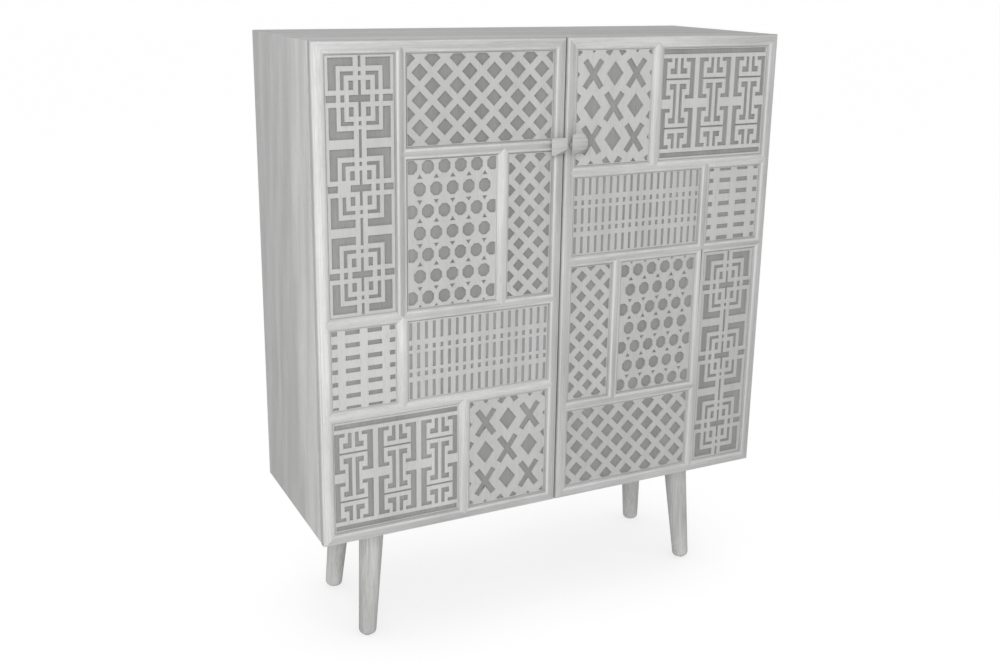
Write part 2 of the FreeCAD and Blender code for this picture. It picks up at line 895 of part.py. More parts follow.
def clipped(faces, half_x, half_z):
    """Openings kept inside the tile's rim, cut straight where the pattern runs on past it."""
    reach_x = half_x - fit_clearance - tile_rim
    reach_z = half_z - fit_clearance - tile_rim
    window = rectangle(-reach_x, reach_x, -reach_z, reach_z)
    kept = []
    for face in faces:
        bounds = face.BoundBox
        near_x, far_x = sorted((abs(bounds.XMin), abs(bounds.XMax)))
        near_z, far_z = sorted((abs(bounds.ZMin), abs(bounds.ZMax)))
        beside = bounds.XMin * bounds.XMax > 0 and near_x >= reach_x
        beyond = bounds.ZMin * bounds.ZMax > 0 and near_z >= reach_z
        if beside or beyond:
            continue
        if far_x <= reach_x and far_z <= reach_z:
            kept.append(face)
        else:
            kept += [part for part in face.common(window).Faces if part.Area > tile_rim * tile_rim]
    return kept


def fret_tile(bounds, openings, shift):
    """Thin board on the door's back board, pierced by the openings; shift is along z."""
    centre, half_x, half_z = bounds
    outer_x = half_x - fit_clearance
    outer_z = half_z - fit_clearance
    plate = rectangle(-outer_x, outer_x, -outer_z, outer_z)
    placed = [moved(face, 0, shift) for face in openings]
    wires = [plate.OuterWire] + [face.OuterWire for face in clipped(placed, half_x, half_z)]
    pierced = Part.makeFace(wires, "Part::FaceMakerBullseye")
    tile = pierced.extrude(Vector(0, -tile_thickness, 0))
    tile.translate(centre + Vector(0, bar_back_y, 0))
    return tile.Solids[0]


def corner_piece(reach_x, reach_z, arm):
    """L-shaped opening round a corner of a square, in the first quarter."""
    return [
        (square_gap_x, reach_z),
        (reach_x, reach_z),
        (reach_x, square_gap_z),
        (reach_x - arm, square_gap_z),
        (reach_x - arm, reach_z - arm),
        (square_gap_x, reach_z - arm),
    ]


def core_cross():
    """Upright and level slots that cross at a unit's centre."""
    quarter = [
        (cross_slot_reach, cross_slot_half),
        (spine_slot_half, cross_slot_half),
        (spine_slot_half, spine_core_reach),
    ]
    points = list(quarter)
    points += [(-x, z) for x, z in reversed(quarter)]
    points += [(-x, -z) for x, z in quarter]
    points += [(x, -z) for x, z in reversed(quarter)]
    return flat(points)


def copies(half, reach, pitch):
    """How many figures, each out to its own reach, fit at the pitch across a tile."""
    return int(2 * (half - reach) / pitch) + 1


def square_unit(tile_half_x, with_left_ring_slot):
    """One set of concentric squares about the origin."""
    faces = [core_cross()]
    core = [
        (square_gap_x, square_gap_z),
        (core_square_x, square_gap_z),
        (core_square_x, core_square_z),
        (square_gap_x, core_square_z),
    ]
    for sign_x, sign_z in QUARTERS:
        faces.append(turned(corner_piece(outer_square_x, outer_square_z, outer_square_arm), sign_x, sign_z))
        faces.append(turned(corner_piece(inner_ring_x, inner_ring_z, inner_ring_arm), sign_x, sign_z))
        faces.append(turned(core, sign_x, sign_z))
    for sign in (-1, 1):
        ends = sorted((sign * edge_slot_start, sign * tile_half_x))
        faces.append(rectangle(ends[0], ends[1], -cross_slot_half, cross_slot_half))
        if sign > 0 or with_left_ring_slot:
            ends = sorted((sign * ring_slot_start, sign * inner_ring_x))
            faces.append(rectangle(ends[0], ends[1], -cross_slot_half, cross_slot_half))
        ends = sorted((sign * spine_ring_start, sign * inner_ring_z))
        faces.append(rectangle(-spine_slot_half, spine_slot_half, ends[0], ends[1]))
    return faces


def square_fret(bounds):
    """Units one above the other, joined by spine slots; one small slot is left uncut."""
    half_x, half_z = bounds[1], bounds[2]
    count = copies(half_z, outer_square_z, square_pitch)
    middle = (count - 1) / 2
    faces = []
    for index in range(count):
        shift = (index - middle) * square_pitch
        faces += [moved(face, 0, shift) for face in square_unit(half_x, index != middle)]
    link_half = square_pitch / 2 - spine_link_start
    for index in range(count + 1):
        place = (index - middle) * square_pitch - square_pitch / 2
        faces.append(rectangle(-spine_slot_half, spine_slot_half, place - link_half, place + link_half))
    return faces


def lattice(bounds, pitch, half):
    """Diamonds on two staggered grids, run past the tile's edges on all sides."""
    half_x, half_z = bounds[1], bounds[2]
    across = int(half_x / pitch) + 2
    down = int(half_z / pitch) + 2
    faces = []
    for i in range(-across, across + 1):
        for j in range(-down, down + 1):
            x = i * pitch
            z = j * pitch
            faces.append(diamond(x + pitch / 2, z, half, half))
            faces.append(diamond(x, z + pitch / 2, half, half))
    return faces


def triangle(x, z, pointing):
    """Small triangle, apex up for 1 and down for -1."""
    low = z - pointing * triangle_half_height
    high = z + pointing * triangle_half_height
    return flat([(x - triangle_half_width, low), (x + triangle_half_width, low), (x, high)])


def cane_pattern(bounds):
    """Staggered octagons; the rows in step with the centre carry triangles above and below."""
    half_x, half_z = bounds[1], bounds[2]
    middle = int(half_z / cane_row_pitch + 0.5)
    across = int(half_x / cane_pitch) + 2
    faces = []
    for row in range(2 * middle + 2):
        z = (middle - row) * cane_row_pitch
        in_step = (row - middle) % 2 == 0
        for column in range(-across, across + 1):
            x = column * cane_pitch
            if in_step:
                faces.append(octagon(x, z))
                faces.append(triangle(x, z + triangle_offset, 1))
                faces.append(triangle(x, z - triangle_offset, -1))
            else:
                faces.append(octagon(x + cane_pitch / 2, z))
    return [face for face in faces if centred_on_tile(face, half_x, half_z)]


def centred_on_tile(face, half_x, half_z):
    """Whether an opening's centre, once the pattern is shifted, is within the tile."""
    centre = face.BoundBox.Center
    return abs(centre.x) < half_x and abs(centre.z + cane_shift) < half_z


def dashes(bounds):
    half_x, half_z = bounds[1], bounds[2]
    rows = copies(half_z, 0, dash_pitch_z)
    across = int(half_x / dash_pitch_x) + 1
    faces = []
    for row in range(rows):
        z = (row - (rows - 1) / 2) * dash_pitch_z
        for column in range(-across - 1, across + 1):
            x = (column + 0.5) * dash_pitch_x
            low_x = x - dash_length / 2
            high_x = x + dash_length / 2
            faces.append(rectangle(low_x, high_x, z - dash_height / 2, z + dash_height / 2))
    return faces


def slots(bounds):
    """Upright slots, each broken into long, short, long, short and long."""
    half_x, half_z = bounds[1], bounds[2]
    count = copies(half_x, slot_half_width, slot_pitch)
    faces = []
    for index in range(count):
        x = (index - (count - 1) / 2) * slot_pitch
        for low, high in slot_span_shares:
            ends = (low * half_z, high * half_z)
            faces.append(rectangle(x - slot_half_width, x + slot_half_width, ends[0], ends[1]))
    return faces


def key_brackets(half_z, sign_z):
    """Pair of square brackets joined by a fine slot."""
    low = key_bracket_low_share * half_z
    high = key_bracket_high_share * half_z
    line = key_line_share * half_z
    half = [
        (key_bracket_inner, line + key_line_half),
        (key_bracket_inner, high - key_arm),
        (key_bracket_tip, high - key_arm),
        (key_bracket_tip, high),
        (key_bracket_outer, high),
        (key_bracket_outer, low),
        (key_bracket_tip, low),
        (key_bracket_tip, low + key_arm),
        (key_bracket_inner, low + key_arm),
        (key_bracket_inner, line - key_line_half),
    ]
    points = half + [(-x, z) for x, z in reversed(half)]
    return flat([(x, sign_z * z) for x, z in points])


def key_stem(half_z, sign_x):
    """Upright slot at the centre with its head and foot turned outwards."""
    reach = key_stem_share * half_z
    half = [
        (key_stem_inner, reach),
        (key_head_reach, reach),
        (key_head_reach, reach - key_head),
        (key_stem_outer, reach - key_head),
    ]
    points = half + [(x, -z) for x, z in reversed(half)]
    return flat([(sign_x * x, z) for x, z in points])


def key_hook(half_z, sign_x, sign_z):
    """L-shaped slot at the end of a column."""
    low = key_hook_low_share * half_z
    high = key_hook_high_share * half_z
    points = [
        (key_stem_inner, high),
        (key_stem_outer, high),
        (key_stem_outer, low + key_head),
        (key_head_reach, low + key_head),
        (key_head_reach, low),
        (key_stem_inner, low),
    ]
    return turned(points, sign_x, sign_z)


def key_fret(bounds):
    half_x, half_z = bounds[1], bounds[2]
    column = [key_brackets(half_z, 1), key_brackets(half_z, -1), key_stem(half_z, 1), key_stem(half_z, -1)]
    column += [key_hook(half_z, sign_x, sign_z) for sign_x, sign_z in QUARTERS]
    count = copies(half_x, key_bracket_outer, key_pitch)
    faces = []
    for index in range(count):
        shift = (index - (count - 1) / 2) * key_pitch
        faces += [moved(face, shift, 0) for face in column]
    slot_reach = half_x - key_edge_slot_rim
    for sign in (-1, 1):
        ends = sorted(sign * share * half_z for share in key_edge_slot_shares)
        faces.append(rectangle(-slot_reach, slot_reach, ends[0], ends[1]))
    return faces


def saltire():
    """Diagonal cross with square-cut ends."""
    reach = math.hypot(cross_reach_x, cross_reach_z)
    along_x = cross_reach_x / reach
    along_z = cross_reach_z / reach
    half = cross_stroke_half
    low = (cross_reach_x + half * along_z, cross_reach_z - half * along_x)
    high = (cross_reach_x - half * along_z, cross_reach_z + half * along_x)
    top = (0, half / along_x)
    side = (half / along_z, 0)
    points = [side, low, high, top]
    points += [(-high[0], high[1]), (-low[0], low[1]), (-side[0], 0)]
    points += [(-low[0], -low[1]), (-high[0], -high[1]), (0, -top[1])]
    points += [(high[0], -high[1]), (low[0], -low[1])]
    return flat(points)


def crosses_and_diamonds(bounds):
    """Chequer of diagonal crosses and diamonds that runs on past the tile's edges."""
    half_x, half_z = bounds[1], bounds[2]
    across = int(half_x / cross_pitch_x) + 1
    down = int(half_z / cross_pitch_z) + 1
    cross = saltire()
    lozenge = diamond(0, 0, cross_diamond_x, cross_diamond_z)
    faces = []
    for i in range(-across, across + 1):
        for j in range(-down, down + 1):
            figure = cross if (i + j) % 2 == 0 else lozenge
            faces.append(moved(figure, i * cross_pitch_x, j * cross_pitch_z))
    return faces


def door_tiles():
    """Name of each tile with its solid."""
    first, last = bar_half, last_rail_line
    squares = cell(bar_half, first_upright, first, middle_crossbar)
    wide_lattice = cell(first_upright, meeting_line, first, first_crossbar)
    cane = cell(first_upright, second_upright, first_crossbar, middle_crossbar)
    tall_lattice = cell(second_upright, meeting_line, first_crossbar, middle_crossbar)
    level_dashes = cell(bar_half, first_upright, middle_crossbar, last_crossbar)
    upright_slots = cell(first_upright, meeting_line, middle_crossbar, last_crossbar)
    keys = cell(bar_half, lower_upright, last_crossbar, last)
    chequer = cell(lower_upright, meeting_line, last_crossbar, last)
    wide = lattice(wide_lattice, large_diamond_pitch, large_diamond_half)
    tall = lattice(tall_lattice, small_diamond_pitch, small_diamond_half)
    return {
        "square_fret_tile": fret_tile(squares, square_fret(squares), square_shift),
        "wide_lattice_tile": fret_tile(wide_lattice, wide, 0),
        "cane_tile": fret_tile(cane, cane_pattern(cane), cane_shift),
        "tall_lattice_tile": fret_tile(tall_lattice, tall, small_lattice_shift),
        "dash_tile": fret_tile(level_dashes, dashes(level_dashes), dash_shift),
        "slot_tile": fret_tile(upright_slots, slots(upright_slots), slot_shift),
        "key_fret_tile": fret_tile(keys, key_fret(keys), key_shift),
        "cross_diamond_tile": fret_tile(chequer, crosses_and_diamonds(chequer), cross_shift),
    }


# Knobs, in door places


def knob_head_ring(side, y, share):
    """Rectangle about the head's centre, across the door's face."""
    half_x = share * knob_head_width / 2
    half_z = share * knob_head_heights[side] / 2
    return ring([
        Vector(-half_x, y, -half_z),
        Vector(half_x, y, -half_z),
        Vector(half_x, y, half_z),
        Vector(-half_x, y, half_z),
    ])


def knob_head(side):
    """Block that widens forwards, with flats cut across its front corners."""
    back = front_y - knob_neck_length
    face = front_y - knob_projection
    rings = [knob_head_ring(side, back, knob_back_share), knob_head_ring(side, face, 1)]
    head = Part.makeLoft(rings, True, True)
    middle = Vector(0, (back + face) / 2, 0)
    height = knob_head_heights[side]
    size = knob_head_width + height
    for shares in knob_flat_shares[side]:
        points = []
        for share_x, share_z, share_y in shares:
            y = face + share_y * (back - face)
            points.append(Vector(share_x * knob_head_width / 2, y, share_z * height / 2))
        normal = (points[1] - points[0]).cross(points[2] - points[0]).normalize()
        if normal.dot(points[0] - middle) < 0:
            normal = -normal
        cutter = Part.makeBox(size, size, size, Vector(-size / 2, -size / 2, 0))
        cutter.Placement = FreeCAD.Placement(points[0], Rotation(Vector(0, 0, 1), normal))
        head = head.cut(cutter)
    return head


def knob(side):
    """Carved block on a short neck, upright on both doors, bored for its screw."""
    head = knob_head(side)
    head.translate(Vector(0, 0, knob_head_rises[side]))
    if side == "right":
        head.rotate(Vector(0, 0, 0), Vector(0, 1, 0), 180)
    head.translate(Vector(door_width - knob_head_from_edge, 0, -knob_level(side)))
    neck_start = Vector(neck_axis_x(), front_y, -knob_level(side))
    neck = cylinder(knob_neck_radius, neck_start, Vector(0, -knob_neck_length, 0))
    bore = knob_screw_shank(side, knob_screw_clearance)
    return head.fuse(neck).cut(bore).Solids[0]


def knob_screw(side):
    start = Vector(neck_axis_x(), door_back_y, -knob_level(side))
    head = cylinder(knob_screw_head_radius, start, Vector(0, knob_screw_head_height, 0))
    return head.fuse(knob_screw_shank(side, 0))


def build_door(side):
    tiles = door_tiles()
    for name, tile in tiles.items():
        nodes[side + "_" + name] = on_door(side, tile)
    pieces = {
        "door_board": door_board(side),
        "outer_stile": outer_stile(),
        "meeting_stile": meeting_stile(side),
        "hinge_end_rail": end_rail(bar_half, -1, first_upright),
        "far_end_rail": end_rail(last_rail_line, 1, lower_upright),
        "upright_bars": group(upright_bars()),
        "crossbars": group(crossbars(side)),
        "knob": knob(side),
        "knob_screw": knob_screw(side),
        "hinge_cups": group(cup_shell(level) for level in hinge_places),
        "hinge_pins": group(hinge_pin(level) for level in hinge_places),
        "hinge_arms": group(hinge_arm(level) for level in hinge_places),
    }
    rails = {"left": ("top_rail", "bottom_rail"), "right": ("bottom_rail", "top_rail")}[side]
    names = {"hinge_end_rail": rails[0], "far_end_rail": rails[1]}
    for name, shape in pieces.items():
        nodes[side + "_" + names.get(name, name)] = on_door(side, shape)


def build_hinge_fixings():
    plates = []
    screws = []
    for side in ("left", "right"):
        for level in hinge_places:
            plates.append(on_door(side, arm_plate(level)))
            screws += [on_door(side, screw) for screw in arm_screws(level)]
    nodes["hinge_plates"] = group(plates)
    nodes["hinge_screws"] = group(screws)


build_carcass()
build_door("left")
build_door("right")
build_hinge_fixings()

for node_name, node_shape in nodes.items():
    node_shape.exportStep("parts/" + node_name + ".step")
    print(node_name, len(node_shape.Solids), round(node_shape.Volume), node_shape.isValid())
print(len(nodes), "nodes")
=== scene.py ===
import json
import math

import bpy
from mathutils import Matrix, Vector
from mathutils.geometry import intersect_point_line

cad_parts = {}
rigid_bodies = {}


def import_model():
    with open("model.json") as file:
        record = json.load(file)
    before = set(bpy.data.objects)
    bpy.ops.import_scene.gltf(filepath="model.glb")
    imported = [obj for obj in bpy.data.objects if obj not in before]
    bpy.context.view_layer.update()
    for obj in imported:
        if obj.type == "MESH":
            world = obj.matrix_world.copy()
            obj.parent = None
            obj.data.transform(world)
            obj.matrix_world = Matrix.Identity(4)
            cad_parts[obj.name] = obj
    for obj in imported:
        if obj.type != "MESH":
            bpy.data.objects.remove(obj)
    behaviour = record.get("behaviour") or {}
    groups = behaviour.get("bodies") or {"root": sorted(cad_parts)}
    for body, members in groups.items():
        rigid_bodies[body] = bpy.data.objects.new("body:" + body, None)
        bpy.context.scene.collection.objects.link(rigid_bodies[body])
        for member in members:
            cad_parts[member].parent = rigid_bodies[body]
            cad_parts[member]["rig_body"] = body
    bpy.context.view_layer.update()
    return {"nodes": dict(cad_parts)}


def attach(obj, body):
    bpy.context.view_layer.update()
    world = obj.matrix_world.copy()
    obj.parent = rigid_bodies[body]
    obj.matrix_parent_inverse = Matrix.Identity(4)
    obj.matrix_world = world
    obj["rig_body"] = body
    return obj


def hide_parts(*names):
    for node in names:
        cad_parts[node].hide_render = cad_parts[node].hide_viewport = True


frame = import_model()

# A two-door cabinet on splayed legs, in metres: X to the right, Y from front to back, Z up.
# The shapes are the solids. This script softens their edges and gives them their finish, a
# floor, light and the camera of the photograph.

cad = frame["nodes"]
mm = 0.001

# Sizes of the solids, for the places of bars and tiles on the doors
half_width = 500 * mm
door_width = 498.5 * mm
cabinet_top = 1200 * mm
body_bottom = 255 * mm
body_height = cabinet_top - body_bottom

# The right door is the left one turned half round, so that its first end is the lower one
door_turns = {"left": 1, "right": -1}
first_ends = {"left": cabinet_top, "right": body_bottom}

# Edges
panel_edge = 0.7 * mm
bar_edge = 0.6 * mm
knob_edge = 0.8 * mm
hole_chamfer = 0.4 * mm
worn_edge_reach = 1.2 * mm
touching = 0.01 * mm
sharp_angle = 40
knob_sharp_angle = 20
smooth_angle = 32

# Camera, fitted to the photograph's corners of the cabinet
camera_place = Vector((-1.106, -2.109, 1.3227))
camera_yaw = math.radians(26.704)
camera_pitch = math.radians(-14.938)
camera_roll = math.radians(0.822)
camera_lens = 41.793
camera_sensor = 36.0
camera_shift_y = -0.055
camera_reach = 200.0

# Light: what the sky gives the cabinet, where 1 is the white that is seen, and how far from the
# cabinet the floor's painted shadow reaches
sky_light = 0.45
floor_size = 120
floor_glow_share = 0.85
floor_shadow_reach = 0.4

# Colours, as linear light. A wood has one for its pale and one for its dark grain.
tile_colours = ((0.52, 0.519, 0.516), (0.4, 0.399, 0.396))
bar_colours = ((0.54, 0.539, 0.536), (0.36, 0.359, 0.356))
# Painted highlight: a paler band along both rounded shoulders of every bar, where the light
# catches them
shoulder_highlight_colours = ((0.61, 0.609, 0.606), (0.46, 0.459, 0.456))
# Painted shade: darker colours for every face of a knob that turns downwards
knob_underside_shade_colours = ((0.34, 0.339, 0.337), (0.25, 0.249, 0.247))
board_colours = ((0.275, 0.274, 0.272), (0.208, 0.207, 0.205))
carcass_colours = ((0.6, 0.599, 0.596), (0.42, 0.419, 0.416))
leg_colours = ((0.6, 0.598, 0.594), (0.36, 0.358, 0.354))
ply_colours = ((0.56, 0.545, 0.52), (0.42, 0.405, 0.38))
shelf_colours = ((0.62, 0.61, 0.59), (0.46, 0.45, 0.43))
pore_tint = (0.62, 0.6, 0.57, 1)
nickel_colour = (0.62, 0.61, 0.59)
zinc_colour = (0.52, 0.53, 0.54)
glide_colour = (0.035, 0.035, 0.037)
floor_colour = (0.86, 0.86, 0.86, 1)
white = (1, 1, 1, 1)

# Where in the log a wood was cut, in metres, so that no two pieces share a figure
shelf_log, shelf_log_step = 11.0, 1.3
leg_log, leg_log_step = 17.0, 1.7
door_logs = {"left": 23.0, "right": 41.0}
tile_log, tile_log_step = 1.0, 0.7
bar_log, bar_log_step = 8.0, 0.9
knob_log = 15.0

# Limits of a normal, as the piece was made, from one wood to the other
off_front = (-0.6, -0.4)
# The shoulders' limits bound a painted highlight on the bars
outer_shoulder = (-0.975, -0.92)
inner_shoulder = (-0.76, -0.84)
# Painted shade under the knobs, where the normal turns down
shaded_underside = (-0.15, -0.4)


# Node work


def put(tree, kind, feeds=None, **settings):
    """New node; its sockets are set to values or fed by other sockets."""
    node = tree.nodes.new(kind)
    for key, value in settings.items():
        setattr(node, key, value)
    for key, value in (feeds or {}).items():
        socket = node.inputs[key]
        if isinstance(value, bpy.types.NodeSocket):
            tree.links.new(value, socket)
        else:
            socket.default_value = value
    return node


def sums(tree, operation, first, second=0.0, third=0.0, clamp=False):
    feeds = {0: first, 1: second, 2: third}
    return put(tree, "ShaderNodeMath", feeds, operation=operation, use_clamp=clamp).outputs[0]


def vectors(tree, operation, first, second):
    return put(tree, "ShaderNodeVectorMath", {0: first, 1: second}, operation=operation).outputs


def scaled(tree, place, factors):
    return vectors(tree, "MULTIPLY", place, factors)[0]


def noise(tree, place, scale, detail=2.0, roughness=0.5):
    feeds = {"Vector": place, "Scale": scale, "Detail": detail, "Roughness": roughness}
    return put(tree, "ShaderNodeTexNoise", feeds).outputs


def ramp(tree, value, low, high, to_low=0.0, to_high=1.0):
    """Smooth step of a value from low to high."""
    feeds = {"Value": value, "From Min": low, "From Max": high}
    feeds.update({"To Min": to_low, "To Max": to_high})
    return put(tree, "ShaderNodeMapRange", feeds, interpolation_type="SMOOTHSTEP").outputs[0]


def mixed(tree, factor, first, second, blend="MIX"):
    feeds = {0: factor, 6: first, 7: second}
    node = put(tree, "ShaderNodeMix", feeds, data_type="RGBA", blend_type=blend)
    return node.outputs[2]


def toned(tree, colour, tone):
    """A colour made paler or darker by one value."""
    grey = put(tree, "ShaderNodeCombineColor", {0: tone, 1: tone, 2: tone}).outputs[0]
    return mixed(tree, 1.0, colour, grey, "MULTIPLY")


def grouped(tree, group, feeds):
    return put(tree, "ShaderNodeGroup", feeds, node_tree=group).outputs


def add_relief(tree, shader, height, strength, distance):
    feeds = {"Strength": strength, "Distance": distance, "Height": height}
    tree.links.new(put(tree, "ShaderNodeBump", feeds).outputs[0], shader["Normal"])


def shader_group(name, inputs, outputs):
    group = bpy.data.node_groups.new(name, "ShaderNodeTree")
    kinds = {
        "vector": "NodeSocketVector",
        "colour": "NodeSocketColor",
        "number": "NodeSocketFloat",
    }
    for way, sockets in (("INPUT", inputs), ("OUTPUT", outputs)):
        for label, kind in sockets.items():
            group.interface.new_socket(name=label, in_out=way, socket_type=kinds[kind])
    start = group.nodes.new("NodeGroupInput")
    end = group.nodes.new("NodeGroupOutput")
    return group, start.outputs, end.inputs


def wood_figure_group():
    """Grain that runs along Z: streaks, growth rings, fibres, pores, blotches and knots."""
    inputs = {"Place": "vector", "Light": "colour", "Dark": "colour"}
    inputs.update({"Figure": "number", "Knots": "number"})
    outputs = {"Colour": "colour", "Height": "number", "Roughness": "number"}
    tree, given, result = shader_group("wood_figure", inputs, outputs)
    place = given["Place"]

    # The grain wanders sideways along the board
    wander = noise(tree, scaled(tree, place, (1, 1, 0.4)), scale=3.0)["Color"]
    centred = vectors(tree, "SUBTRACT", wander, (0.5, 0.5, 0.5))[0]
    sideways = scaled(tree, centred, (0.05, 0.05, 0.0))
    flow = vectors(tree, "ADD", place, sideways)[0]

    feeds = {"Vector": scaled(tree, place, (1, 1, 0.6)), "Scale": 6.0}
    spots = put(tree, "ShaderNodeTexVoronoi", feeds).outputs["Distance"]
    knots = sums(tree, "MULTIPLY", ramp(tree, spots, 0.17, 0.02), given["Knots"])

    bands = noise(tree, scaled(tree, flow, (1, 1, 0.04)), scale=9.0, detail=1.0)[0]
    streaks = noise(tree, scaled(tree, flow, (1, 1, 0.03)), scale=24.0, detail=3.0)[0]
    fibre_place = scaled(tree, flow, (1, 1, 0.02))
    fibres = noise(tree, fibre_place, scale=380.0, detail=3.0, roughness=0.65)[0]
    blotches = noise(tree, scaled(tree, place, (1, 1, 0.35)), scale=7.0, detail=3.0)[0]
    pores = noise(tree, scaled(tree, flow, (1, 1, 0.045)), scale=1100.0, detail=1.0)[0]
    pores = ramp(tree, pores, 0.6, 0.72)
    feeds = {"Vector": scaled(tree, flow, (1, 1, 0.16)), "Scale": 9.0, "Distortion": 7.0}
    feeds.update({"Detail": 3.0, "Detail Scale": 0.9, "Detail Roughness": 0.55})
    rings = put(
        tree,
        "ShaderNodeTexWave",
        feeds,
        wave_type="BANDS",
        bands_direction="DIAGONAL",
        wave_profile="SIN",
    ).outputs["Fac"]

    tone = 0.0
    shares = ((bands, 1.1), (streaks, 1.4), (rings, 0.3), (blotches, 1.3), (fibres, 1.6))
    for part, share in shares:
        tone = sums(tree, "MULTIPLY_ADD", sums(tree, "SUBTRACT", part, 0.5), share, tone)
    tone = sums(tree, "MULTIPLY", tone, given["Figure"])
    tone = sums(tree, "ADD", tone, 0.5, clamp=True)
    colour = mixed(tree, tone, given["Dark"], given["Light"])
    darker = mixed(tree, 1.0, colour, pore_tint, "MULTIPLY")
    for mask, share in ((pores, 0.35), (knots, 0.75)):
        colour = mixed(tree, sums(tree, "MULTIPLY", mask, share), colour, darker)
    tree.links.new(colour, result["Colour"])

    height = sums(tree, "SUBTRACT", fibres, sums(tree, "MULTIPLY", pores, 0.6))
    tree.links.new(height, result["Height"])
    rough = sums(tree, "MULTIPLY_ADD", blotches, 0.2, 0.48)
    tree.links.new(sums(tree, "MULTIPLY_ADD", pores, 0.15, rough), result["Roughness"])
    return tree


def worn_edge_group():
    """Share of wear on the sharp edges, broken up so that it isn't even."""
    inputs = {"Place": "vector", "Reach": "number"}
    tree, given, result = shader_group("worn_edges", inputs, {"Wear": "number"})
    rounded = put(tree, "ShaderNodeBevel", {"Radius": given["Reach"]}, samples=4).outputs[0]
    flat = put(tree, "ShaderNodeNewGeometry").outputs["Normal"]
    along = vectors(tree, "DOT_PRODUCT", rounded, flat)["Value"]
    edge = ramp(tree, along, 0.985, 0.8)
    patches = noise(tree, given["Place"], scale=60.0, detail=3.0, roughness=0.6)[0]
    patches = ramp(tree, patches, low=0.35, high=0.65, to_low=0.35)
    tree.links.new(sums(tree, "MULTIPLY", edge, patches), result["Wear"])
    return tree


def brushed_metal_group():
    """Fine drawn lines along X and faint smudges."""
    outputs = {"Tone": "number", "Roughness": "number", "Height": "number"}
    tree, given, result = shader_group("brushed_metal", {"Place": "vector"}, outputs)
    line_place = scaled(tree, given["Place"], (0.05, 1, 1))
    lines = noise(tree, line_place, scale=1500.0, roughness=0.6)[0]
    smudges = noise(tree, given["Place"], scale=90.0, detail=3.0, roughness=0.55)[0]
    tree.links.new(ramp(tree, smudges, low=0.3, high=0.7, to_low=0.86), result["Tone"])
    tree.links.new(sums(tree, "MULTIPLY_ADD", lines, 0.22, 0.2), result["Roughness"])
    tree.links.new(lines, result["Height"])
    return tree


wood_figure = wood_figure_group()
worn_edges = worn_edge_group()
brushed_metal = brushed_metal_group()

# Turns that bring the grain of a piece onto Z
grain_turns = {"z": (0, 0, 0), "x": (0, math.radians(-90), 0)}


def coloured(values, share=1.0):
    return (values[0] * share, values[1] * share, values[2] * share, 1)


def new_material(name):
    material = bpy.data.materials.new(name)
    material.use_nodes = True
    tree = material.node_tree
    place = put(tree, "ShaderNodeTexCoord").outputs["Object"]
    return material, tree, tree.nodes["Principled BSDF"].inputs, place


def wood(name, along, colours, shift, tone=1.0, figure=1.0, knots=0.0, wear=0.35):
    """Grey-washed wood with its grain along one axis; shift picks another part of the log."""
    material, tree, shader, place = new_material(name)
    feeds = {"Vector": place, "Rotation": grain_turns[along]}
    feeds["Location"] = (shift, 0.61 * shift, 0.37 * shift)
    turned = put(tree, "ShaderNodeMapping", feeds).outputs[0]
    feeds = {"Place": turned, "Figure": figure, "Knots": knots}
    feeds.update({"Light": coloured(colours[0], tone), "Dark": coloured(colours[1], tone)})
    figured = grouped(tree, wood_figure, feeds)
    worn = grouped(tree, worn_edges, {"Place": place, "Reach": worn_edge_reach})["Wear"]
    pale = coloured([min(0.8, 1.22 * part) for part in colours[0]], tone)
    colour = mixed(tree, sums(tree, "MULTIPLY", worn, wear), figured["Colour"], pale)
    tree.links.new(colour, shader["Base Color"])
    tree.links.new(figured["Roughness"], shader["Roughness"])
    shader["Specular IOR Level"].default_value = 0.5
    add_relief(tree, shader, figured["Height"], strength=0.35, distance=0.6 * mm)
    return material


def second_wood(material, colours, shift, *limits, axis="Y"):
    """Other colours where the piece's own normal along an axis passes all pairs of limits."""
    tree = material.node_tree
    base_colour = tree.nodes["Principled BSDF"].inputs["Base Color"]
    first = base_colour.links[0].from_socket
    coordinates = put(tree, "ShaderNodeTexCoord").outputs
    facing = put(tree, "ShaderNodeSeparateXYZ", {0: coordinates["Normal"]}).outputs[axis]
    feeds = {"Vector": coordinates["Object"], "Location": (shift, 2.2, 0.4)}
    place = put(tree, "ShaderNodeMapping", feeds).outputs[0]
    feeds = {"Place": place, "Figure": 0.7, "Knots": 0.0}
    feeds.update({"Light": coloured(colours[0]), "Dark": coloured(colours[1])})
    second = grouped(tree, wood_figure, feeds)["Colour"]
    share = 1.0
    for low, high in limits:
        share = sums(tree, "MULTIPLY", share, ramp(tree, facing, low, high))
    tree.links.new(mixed(tree, share, first, second), base_colour)


def tone_base(material, tone):
    """Makes a finished wood paler or darker."""
    tree = material.node_tree
    base_colour = tree.nodes["Principled BSDF"].inputs["Base Color"]
    tree.links.new(toned(tree, base_colour.links[0].from_socket, tone), base_colour)


def metal(name, colour):
    material, tree, shader, place = new_material(name)
    brushed = grouped(tree, brushed_metal, {"Place": place})
    tree.links.new(toned(tree, coloured(colour), brushed["Tone"]), shader["Base Color"])
    tree.links.new(brushed["Roughness"], shader["Roughness"])
    shader["Metallic"].default_value = 1.0
    add_relief(tree, shader, brushed["Height"], strength=0.1, distance=0.1 * mm)
    return material


def moulded_plastic(name, colour):
    material, tree, shader, place = new_material(name)
    speckle = noise(tree, place, scale=900.0, roughness=0.6)[0]
    scuffs = noise(tree, place, scale=120.0, detail=4.0, roughness=0.6)[0]
    scuffs = ramp(tree, scuffs, 0.45, 0.75)
    scuffed = mixed(tree, scuffs, coloured(colour), coloured(colour, 1.5))
    tree.links.new(scuffed, shader["Base Color"])
    tree.links.new(sums(tree, "MULTIPLY_ADD", speckle, 0.25, 0.45), shader["Roughness"])
    add_relief(tree, shader, speckle, strength=0.15, distance=0.2 * mm)
    return material


# Shapes


def select_only(piece):
    bpy.ops.object.select_all(action="DESELECT")
    piece.select_set(True)
    bpy.context.view_layer.objects.active = piece


